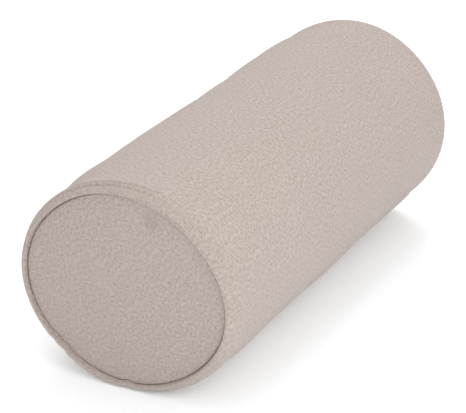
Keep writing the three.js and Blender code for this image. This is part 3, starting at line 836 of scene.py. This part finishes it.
# ---- Zip tapes ----
# Two woven polyester tapes, 12 mm wide, sewn behind the slit. Each has a rib along the edge that
# carries the coil, and a flat selvedge on the other.
TAPE_WIDTH = 0.012
TAPE_THICKNESS = 0.0006
TAPE_TOP = -0.0018
COIL_GAP = 0.0015
TAPE_HALF_LENGTH = ZIP_LENGTH / 2 + 0.006
RIB_HEIGHT, RIB_WAVES, RIB_SHARE = 0.00012, 60, 0.35
SELVEDGE_DROP, SELVEDGE_FROM = 0.0001, 0.9
tape_weave = cloth_material(
    "zip tape weave", (0.36, 0.30, 0.262), (0.50, 0.43, 0.38), yarn=0.0005, flank_shading=0.6,
    patchiness=0.1, relief=0.00015, sheen=0.1,
)
for side, row in ((-1, "upper"), (1, "lower")):
    u, across = np.meshgrid(
        np.linspace(-TAPE_HALF_LENGTH, TAPE_HALF_LENGTH, 210), np.linspace(0, 1, 15), indexing="ij"
    )
    v = side * (COIL_GAP / 2 + TAPE_WIDTH * across)
    rib = RIB_HEIGHT * np.sin(across * RIB_WAVES) * (across < RIB_SHARE)
    rib = rib - SELVEDGE_DROP * (across > SELVEDGE_FROM)
    made = cloth_mesh(
        f"tape_{row}", *strip_points(u, v, TAPE_TOP + rib, TAPE_THICKNESS),
        np.stack([u, v], -1), around=False,
    )
    piece(made, "bolster", "zip_tape", tape_weave, f"zip_tape_{row}")

# ---- Zip coils ----
# One nylon monofilament for each row, wound in a flattened spiral whose turns are the zip's teeth,
# and two lines of stitches that hold it on its tape.
COIL_PITCH = 0.0015
COIL_FROM, COIL_TO = -0.1469, 0.1457
COIL_HEIGHT = 0.0017
COIL_WIRE = 0.00036
COIL_INNER, COIL_OUTER = -0.0003, 0.0030
COIL_STITCHES = [("inner", 0.0014), ("outer", 0.0024)]


def coil_tree():
    """A flattened spiral of wire along the X axis, centred on it."""
    tree, given = geometry_tree("Zip coil", "Turns", "Length", "Width", "Height", "Wire")
    spiral = node(tree, "GeometryNodeCurveSpiral", {
        "Resolution": 10, "Rotations": given["Turns"], "Start Radius": 0.5, "End Radius": 0.5,
        "Height": given["Length"],
    })
    size = vector(tree, given["Width"], given["Height"], 1.0)
    flat = node(tree, "GeometryNodeTransform", {"Geometry": spiral.outputs[0], "Scale": size})
    laid = node(tree, "GeometryNodeTransform", {
        "Geometry": flat.outputs[0], "Rotation": (0.0, math.pi / 2, 0.0),
    })
    return ended(tree, tube_along(tree, laid.outputs[0], given["Wire"], 5, caps=True), given)


def nylon():
    """Dyed monofilament: smooth, with a faint unevenness in its tone and its shine."""
    material, tree, shader = new_material("coil nylon")
    cloud = noise_at(tree, node(tree, "ShaderNodeTexCoord").outputs["Object"], 90.0)
    shade = blended(tree, cloud, (0.33, 0.28, 0.245, 1), (0.43, 0.37, 0.33, 1), "RGBA")
    tree.links.new(shade, shader.inputs["Base Color"])
    tree.links.new(maths(tree, "MULTIPLY_ADD", cloud, 0.2, 0.3), shader.inputs["Roughness"])
    return material


# The zip's own directions, which the rigid parts of the slider keep
zip_middle = Vector(on_zip(0, 0, 0))
along_zip = (Vector(on_zip(0.001, 0, 0)) - zip_middle).normalized()
down_cover = Vector((0, HALF_WIDTH * math.sin(ZIP_ANGLE), -half_height(0) * math.cos(ZIP_ANGLE)))
down_cover = (down_cover - along_zip * down_cover.dot(along_zip)).normalized()
outwards = along_zip.cross(down_cover)


def zip_place(u, v, w):
    """The matrix that sets a part made flat on X and Y down at a place on the zip."""
    spot = zip_middle + along_zip * u + down_cover * v + outwards * w
    turned = Matrix((along_zip, down_cover, outwards)).transposed().to_4x4()
    return Matrix.Translation(spot) @ turned


COIL = coil_tree()
coil_nylon = nylon()
coil_thread = thread_material("coil stitching", (0.46, 0.39, 0.35))
for side, row in ((-1, "upper"), (1, "lower")):
    made = grown(
        f"coil_{row}", [(0, 0, 0), (1, 0, 0)], False, COIL, coil_nylon,
        turns=(COIL_TO - COIL_FROM) / COIL_PITCH, length=COIL_TO - COIL_FROM - COIL_PITCH,
        width=COIL_HEIGHT - 2 * COIL_WIRE, height=COIL_OUTER - COIL_INNER - 2 * COIL_WIRE,
        wire=COIL_WIRE,
    )
    offset = COIL_PITCH / 4 * side
    made.transform(zip_place(
        COIL_FROM + COIL_PITCH / 2 + offset, side * (COIL_INNER + COIL_OUTER) / 2,
        TAPE_TOP + COIL_HEIGHT / 2,
    ))
    piece(made, "bolster", "zip_coil", coil_nylon, f"zip_coil_{row}")
    for line, v in COIL_STITCHES:
        u = np.linspace(COIL_FROM + 0.001, COIL_TO - 0.001, 60)
        path = on_zip(u, side * v, TAPE_TOP + COIL_HEIGHT + 0.00005)
        sewn_row(f"coil_stitches_{row}_{line}", path, False, coil_thread,
                 pitch=COIL_PITCH, length=0.0018, thickness=0.00035)

# ---- Topstitching and bartacks ----
# A row of 3 mm stitches on each side of the slit holds the tape, and a dense bar of thread across
# each end of the slit stops it from tearing.
BARTACK_AT = ZIP_LENGTH / 2 + 0.002
BARTACK_STITCHES, BARTACK_SWING = 45, 0.0007
top_thread = thread_material("topstitching thread", (0.50, 0.43, 0.385))
for side, row in ((-1, "upper"), (1, "lower")):
    path = on_zip(np.linspace(-ZIP_LENGTH / 2, ZIP_LENGTH / 2, 120), side * STITCH_LINE, -0.0002)
    sewn_row(f"topstitching_{row}", path, False, top_thread, f"zip_stitching_{row}",
             length=0.0027, thickness=0.0006)
for side, end in ((-1, "near"), (1, "far")):
    v = np.linspace(-STITCH_LINE, STITCH_LINE, BARTACK_STITCHES)
    u = side * BARTACK_AT + BARTACK_SWING * (np.arange(BARTACK_STITCHES) % 2 - 0.5) * 2
    sewn_row(f"bartack_{end}", on_zip(u, v, 0.00005), False, top_thread, f"zip_bartack_{end}",
             pitch=0.0005, length=0.0009, thickness=0.00045)

# ---- Zip stops ----
# Small clips of plated metal, pressed over the ends of the coils: one on each row at the top, and
# one across both rows at the bottom. They keep the slider on the zip.
TOP_STOP_U, BOTTOM_STOP_U = 0.14725, -0.14845
STOP_MIDDLE = TAPE_TOP + 0.0003 + COIL_HEIGHT / 2
STOP_HALF_LENGTH = 0.00125
STOP_THICKNESS = 0.0017
STOP_CORNER, STOP_ROUNDING = 0.0004, 0.0003


def metal(name, colour, roughness):
    """Brushed plated metal: fine scratches, and a slightly worn, darker tone in patches."""
    material, tree, shader = new_material(name)
    place = node(tree, "ShaderNodeTexCoord").outputs["Object"]
    brushed = node(tree, "ShaderNodeMapping", {"Vector": place, "Scale": (400.0, 4000.0, 4000.0)})
    scratch = noise_at(tree, brushed.outputs[0], 1.0, 3.0)
    dark = [0.8 * c for c in colour]
    shade = blended(tree, noise_at(tree, place, 260.0), (*dark, 1), (*colour, 1), "RGBA")
    rough = maths(tree, "MULTIPLY_ADD", scratch, 0.25, roughness - 0.1)
    tree.links.new(shade, shader.inputs["Base Color"])
    tree.links.new(rough, shader.inputs["Roughness"])
    raise_surface(tree, shader, scratch, 0.00001)
    shader.inputs["Metallic"].default_value = 1.0
    return material


def stamped(outlines, thickness, rounding, place):
    """A flat part cut to its outlines, with its edges rounded, and set down at its place."""
    flat = bpy.data.curves.new("outline", "CURVE")
    flat.dimensions = "2D"
    flat.fill_mode = "BOTH"
    flat.extrude = thickness / 2 - rounding
    flat.bevel_depth = rounding
    flat.bevel_resolution = 2
    flat.offset = -rounding
    for outline in outlines:
        line = flat.splines.new("POLY")
        line.points.add(len(outline) - 1)
        for point, (x, y) in zip(line.points, outline):
            point.co = (x, y, 0, 1)
        line.use_cyclic_u = True
    made = bpy.data.objects.new("outline", flat)
    bpy.context.scene.collection.objects.link(made)
    mesh = bpy.data.meshes.new_from_object(
        made.evaluated_get(bpy.context.evaluated_depsgraph_get())
    )
    bpy.data.objects.remove(made)
    mesh.transform(place)
    return mesh


def one_mesh(name, parts):
    """Joins the meshes of a part into one, with its normals outwards."""
    work = bmesh.new()
    for part in parts:
        work.from_mesh(part)
    bmesh.ops.remove_doubles(work, verts=work.verts, dist=2e-6)
    bmesh.ops.recalc_face_normals(work, faces=work.faces)
    mesh = bpy.data.meshes.new(name)
    work.to_mesh(mesh)
    work.free()
    return mesh


def rounded_box(half_length, half_width, corner, steps=4):
    """The outline of a rectangle with round corners."""
    points = []
    for quarter, (sx, sy) in enumerate(((1, 1), (-1, 1), (-1, -1), (1, -1))):
        for k in range(steps + 1):
            turn = math.pi / 2 * (quarter + k / steps)
            points.append((sx * (half_length - corner) + corner * math.cos(turn),
                           sy * (half_width - corner) + corner * math.sin(turn)))
    return points


nickel = metal("brushed nickel", (0.48, 0.46, 0.44), 0.38)
clips = [
    ("top_stop_upper", "zip_stop_top_upper", TOP_STOP_U, -0.002175, 0.00112),
    ("top_stop_lower", "zip_stop_top_lower", TOP_STOP_U, 0.002175, 0.00112),
    ("bottom_stop", "zip_stop_bottom", BOTTOM_STOP_U, 0.0, 0.003),
]
for name, stands_for, u, v, half_width in clips:
    clip = stamped([rounded_box(STOP_HALF_LENGTH, half_width, STOP_CORNER)], STOP_THICKNESS,
                   STOP_ROUNDING, zip_place(u, v, STOP_MIDDLE))
    piece(one_mesh(name, [clip]), "bolster", "zip_metal", nickel, stands_for)

# ---- Zip slider ----
# Cast zinc, nickel plated: an upper and a lower plate with turned-in flanges that hold the rows
# together, a wedge between the two mouths at the front, and a bridge that the pull tab hangs on.
SLIDER_U = 0.140
PULL_AXIS_W = 0.00255
UPPER_PLATE_W, UPPER_PLATE_THICKNESS = 0.0011, 0.0012
LOWER_PLATE_W, LOWER_PLATE_THICKNESS = -0.0033, 0.0010
FLANGE_W, FLANGE_HEIGHT = -0.0003, 0.0022
WEDGE_W, WEDGE_HEIGHT = -0.0011, 0.0052
BRIDGE_HALF_LENGTH, BRIDGE_LOW, BRIDGE_HIGH, BRIDGE_WALL = 0.0032, 0.0012, 0.0042, 0.0008
BRIDGE_WIDTH = 0.0014


def slider_plate():
    """Seen from above: two mouths at the front, a waist, and one mouth behind."""
    side = [(0.0050, 0.0030), (0.0046, 0.0040), (0.0038, 0.0044), (0.0010, 0.0044),
            (-0.0012, 0.0041), (-0.0034, 0.0038), (-0.0046, 0.0036), (-0.0050, 0.0030)]
    front = [(0.0042, 0.0)]
    return front + side + [(x, -y) for x, y in reversed(side)]


def arch(half_length, low, high, wall, steps=8):
    """The bridge from the side: a strap that stands on both feet, with a flat round top."""
    outer, inner = [], []
    for k in range(steps + 1):
        turn = math.pi * k / steps
        lift = math.sin(turn) ** 0.6
        outer.append((half_length * math.cos(turn), low + (high - low) * lift))
        inner.append(((half_length - wall) * math.cos(turn), low + (high - wall - low) * lift))
    return outer + inner[::-1]


def slider_parts():
    def at_slider(w):
        return zip_place(SLIDER_U, 0, w)

    parts = [
        stamped([slider_plate()], UPPER_PLATE_THICKNESS, 0.00025, at_slider(UPPER_PLATE_W)),
        stamped([slider_plate()], LOWER_PLATE_THICKNESS, 0.00025, at_slider(LOWER_PLATE_W)),
    ]
    for side in (-1, 1):
        flange = [(x, side * y) for x, y in (
            (0.0038, 0.0044), (0.0010, 0.0044), (-0.0034, 0.0038), (-0.0046, 0.0036),
            (-0.0046, 0.0028), (-0.0034, 0.0029), (0.0010, 0.0033), (0.0038, 0.0033),
        )]
        parts.append(stamped([flange], FLANGE_HEIGHT, 0.0002, at_slider(FLANGE_W)))
    wedge = [(0.0040, 0.0003), (0.0012, 0.00015), (0.0012, -0.00015), (0.0040, -0.0003)]
    parts.append(stamped([wedge], WEDGE_HEIGHT, 0.00005, at_slider(WEDGE_W)))
    upright = Matrix.Rotation(math.pi / 2, 4, "X")
    bridge = arch(BRIDGE_HALF_LENGTH, BRIDGE_LOW, BRIDGE_HIGH, BRIDGE_WALL)
    parts.append(stamped([bridge], BRIDGE_WIDTH, 0.0002, at_slider(0) @ upright))
    return parts


piece(one_mesh("slider", slider_parts()), "slider", "zip_metal", nickel, "zip_slider")

# ---- Pull tab ----
# A flat stamped tab, 22 mm long, whose eye hangs on the slider's bridge. It has a raised plain
# field on both sides for the fingers to hold.
TAB_ROUND_AT, TAB_RADIUS = -0.0193, 0.0027
TAB_THICKNESS, TAB_FIELD_THICKNESS = 0.0010, 0.0013
tab_round = [
    (TAB_ROUND_AT + TAB_RADIUS * math.cos(t), TAB_RADIUS * math.sin(t))
    for t in np.linspace(math.pi / 2, 3 * math.pi / 2, 13)
]
tab_outline = [(0.0005, -0.0018), (0.0005, 0.0018), (-0.0001, 0.0024), (-0.008, 0.0024)]
tab_outline += tab_round + [(-0.008, -0.0024), (-0.0001, -0.0024)]
tab_window = [(x - 0.00235, y) for x, y in rounded_box(0.00185, 0.0012, 0.0005)]
tab_field = [(x - 0.0145, y) for x, y in rounded_box(0.0050, 0.0016, 0.0015)]
on_axis = zip_place(SLIDER_U, 0, PULL_AXIS_W)
tab = one_mesh("pull_tab", [
    stamped([tab_outline, tab_window], TAB_THICKNESS, 0.0002, on_axis),
    stamped([tab_field], TAB_FIELD_THICKNESS, 0.0002, on_axis),
])
piece(tab, "pull_tab", "zip_metal", nickel, "zip_pull_tab")

# ---- Liner ----
# The insert's own case: thin white calico, a tube and two rounds, which the fibre swells tight.
# It is narrower at its ends, where the cover's allowances lie round it.
LINER = 0.0006
LINER_INSET = 0.0042
LINER_END_INSET = 0.0135
LINER_END = SEAM_RECESS + CLOTH + 0.003
LINER_NARROW_TO = SEAM_RECESS + ALLOWANCE + 0.004
LINER_WIDE_FROM = LINER_NARROW_TO + 0.012
GATHERS, GATHER_REACH, GATHER_DEPTH = 43, 0.006, 0.0003
ROUND_LAP = 0.0003


def insert_profile(x, inside):
    """How deep the insert's surface lies along the roll."""
    from_end = LENGTH / 2 - np.abs(x)
    t = np.clip((from_end - LINER_NARROW_TO) / (LINER_WIDE_FROM - LINER_NARROW_TO), 0, 1)
    return LINER_END_INSET + (LINER_INSET - LINER_END_INSET) * t * t * (3 - 2 * t) + inside


def puckers(x, turn):
    """Small gathers beside the liner's end seams, and a soft unevenness elsewhere."""
    near_end = bump(LENGTH / 2 - np.abs(x), LINER_END, GATHER_REACH)
    gathers = GATHER_DEPTH * near_end * np.sin(GATHERS * turn + 2 * np.sin(3 * turn))
    return gathers + GATHER_DEPTH * np.sin(5 * turn + 31 * x) * np.sin(61 * x + 2)


calico = cloth_material(
    "calico", (0.80, 0.79, 0.75), (0.92, 0.91, 0.87), yarn=0.0006, flank_shading=0.5, patchiness=0.2,
    relief=0.0002,
)
turn = np.arange(121) * 2 * math.pi / 120
x = np.linspace(LINER_END - LENGTH / 2, LENGTH / 2 - LINER_END, 90)[:, None]
depth = insert_profile(x, 0) + puckers(x, turn[None, :-1])
place = np.stack(np.broadcast_arrays(x, turn * MEAN_RADIUS), -1)
tube_case = cloth_mesh(
    "liner_tube", on_roll(x, turn[None, :-1], depth),
    on_roll(x, turn[None, :-1], depth + LINER), place, around=True,
)
piece(tube_case, "bolster", "liner", calico, "liner_body")
liner_thread = thread_material("liner thread", (0.82, 0.80, 0.76))
for side, end in ((-1, "near"), (1, "far")):
    share = np.linspace(0, 1, 24)[:, None]
    at_end = side * (LENGTH / 2 - LINER_END - 0.0004 * share**2)
    depth = LINER_END_INSET + LINER + ROUND_LAP
    face = on_roll(at_end, turn[None, :-1], depth, share, floor=0)
    back = on_roll(at_end - side * LINER, turn[None, :-1], depth, share, floor=0)
    place = on_roll(at_end, turn[None, :], depth, share, floor=0)[..., 1:]
    made = cloth_mesh(f"liner_round_{end}", face, back, place, around=True, pole=True)
    piece(made, "bolster", "liner", calico, f"liner_end_{end}")
    path = on_roll(side * (LENGTH / 2 - LINER_END + 0.0005), turn[:-1], LINER_END_INSET + 0.0004,
                   floor=0)
    sewn_row(f"liner_stitches_{end}", path, True, liner_thread, f"liner_seam_thread_{end}",
             pitch=0.0025, length=0.0026)
CLOSING_V, CLOSING_HALF, CLOSING_ZIGZAG = -0.080, 0.080, 0.0004
u = np.linspace(-CLOSING_HALF, CLOSING_HALF, 60)
path = on_zip(u, CLOSING_V + CLOSING_ZIGZAG * (np.arange(60) % 2), 0.0004 - LINER_INSET)
sewn_row("liner_closing_stitches", path, False, liner_thread, "liner_closing_seam",
         pitch=0.0022, length=0.0024)

# ---- Fibre filling ----
# White hollow polyester fibre, blown into the liner until the roll is firm. It is one lofty mass
# that nothing holds but the liner round it.
FILLING_GAP = 0.0009
FILLING_LUMPS = 0.0004


def fibre_fill():
    """A matt white mass of crimped fibres with soft tufts."""
    material, tree, shader = new_material("polyester fibre")
    place = node(tree, "ShaderNodeTexCoord").outputs["Object"]
    tufts = noise_at(tree, place, 70.0, 3.0)
    crimp = {"Vector": place, "Scale": 160.0, "Distortion": 22.0, "Detail": 3.0}
    strands = node(tree, "ShaderNodeTexWave", crimp).outputs["Fac"]
    fluff = maths(tree, "ADD", maths(tree, "MULTIPLY", tufts, 0.7),
                  maths(tree, "MULTIPLY", strands, 0.3))
    shade = blended(tree, fluff, (0.80, 0.79, 0.77, 1), (0.94, 0.93, 0.92, 1), "RGBA")
    tree.links.new(shade, shader.inputs["Base Color"])
    raise_surface(tree, shader, fluff, 0.002)
    shader.inputs["Roughness"].default_value = 0.95
    shader.inputs["Sheen Weight"].default_value = 0.4
    return material


turn = np.arange(97) * 2 * math.pi / 96
x = np.linspace(-1, 1, 80)[:, None] * (LENGTH / 2 - LINER_END - FILLING_GAP)
depth = insert_profile(x, FILLING_GAP + LINER) + FILLING_LUMPS * np.sin(7 * turn[:-1] + 90 * x)
mass = on_roll(x, turn[None, :-1], depth)
share = np.linspace(0, 0.9, 8)[:, None]
first = on_roll(x[0], turn[None, :-1], depth[0][None, :], share, floor=0)
last = on_roll(x[-1], turn[None, :-1], depth[-1][None, :], share[::-1], floor=0)
mass = np.concatenate([first, mass, last])
place = np.zeros((len(mass), 97, 2))
filling = cloth_mesh("fibre_mass", mass, None, place, around=True)
piece(filling, "bolster", "filling", fibre_fill(), "fibre_filling")

# ---- Studio ----
# A plain white floor, lit by a white room, a broad soft light high over the far end and a small one
# low in front of the near end. The camera stands off the near end and looks down on the roll.
FLOOR_HALF, FLOOR_DROP = 6, 0.0004
corners = [(-FLOOR_HALF, -FLOOR_HALF, 0), (FLOOR_HALF, -FLOOR_HALF, 0),
           (FLOOR_HALF, FLOOR_HALF, 0), (-FLOOR_HALF, FLOOR_HALF, 0)]
floor_mesh = bpy.data.meshes.new("floor")
floor_mesh.from_pydata(corners, [], [(0, 1, 2, 3)])
floor_object = bpy.data.objects.new("floor", floor_mesh)
bpy.context.scene.collection.objects.link(floor_object)
floor_object.location.z = -FLOOR_DROP
paper, _, shader = new_material("white paper")
shader.inputs["Base Color"].default_value = (0.90, 0.925, 0.94, 1)
shader.inputs["Roughness"].default_value = 0.9
# A faint glow keeps the shadows on the paper pale
shader.inputs["Emission Color"].default_value = (1, 1, 1, 1)
shader.inputs["Emission Strength"].default_value = 0.145
floor_mesh.materials.append(paper)

world = bpy.data.worlds.new("studio")
bpy.context.scene.world = world
world.use_nodes = True
room = world.node_tree.nodes["Background"]
room.inputs["Color"].default_value = (1, 1, 1, 1)
room.inputs["Strength"].default_value = 0.91


def soft_light(name, place, size, power):
    """A round light that shines on the middle of the roll."""
    light = bpy.data.lights.new(name, "AREA")
    light.shape = "DISK"
    light.size = size
    light.energy = power
    made = bpy.data.objects.new(name, light)
    bpy.context.scene.collection.objects.link(made)
    made.location = place
    made.rotation_euler = (Vector((0, 0, 0.08)) - Vector(place)).to_track_quat("-Z", "Y").to_euler()


soft_light("high back light", (1.6, 0.5, 1.9), size=1.5, power=22)
soft_light("near fill light", (-0.6, -0.75, 0.65), size=0.7, power=3.7)

VIEW_AZIMUTH, VIEW_ELEVATION = math.radians(-62.55), math.radians(23.23)
VIEW_DISTANCE = 1.3564
AIM = Vector((-0.000845, 0, 0.0816))
AIM_RIGHT, AIM_UP = -0.01361, -0.01495
back = Vector((
    math.sin(VIEW_AZIMUTH) * math.cos(VIEW_ELEVATION),
    -math.cos(VIEW_AZIMUTH) * math.cos(VIEW_ELEVATION),
    math.sin(VIEW_ELEVATION),
))
right = (-back).cross(Vector((0, 0, 1))).normalized()
up = right.cross(-back)
lens = bpy.data.cameras.new("camera")
lens.lens = 135.03
lens.sensor_width = 36
camera = bpy.data.objects.new("camera", lens)
bpy.context.scene.collection.objects.link(camera)
camera.location = AIM + right * AIM_RIGHT + up * AIM_UP + back * VIEW_DISTANCE
camera.rotation_euler = (-back).to_track_quat("-Z", "Y").to_euler()
bpy.context.scene.camera = camera
bpy.context.scene.view_settings.view_transform = "Standard"
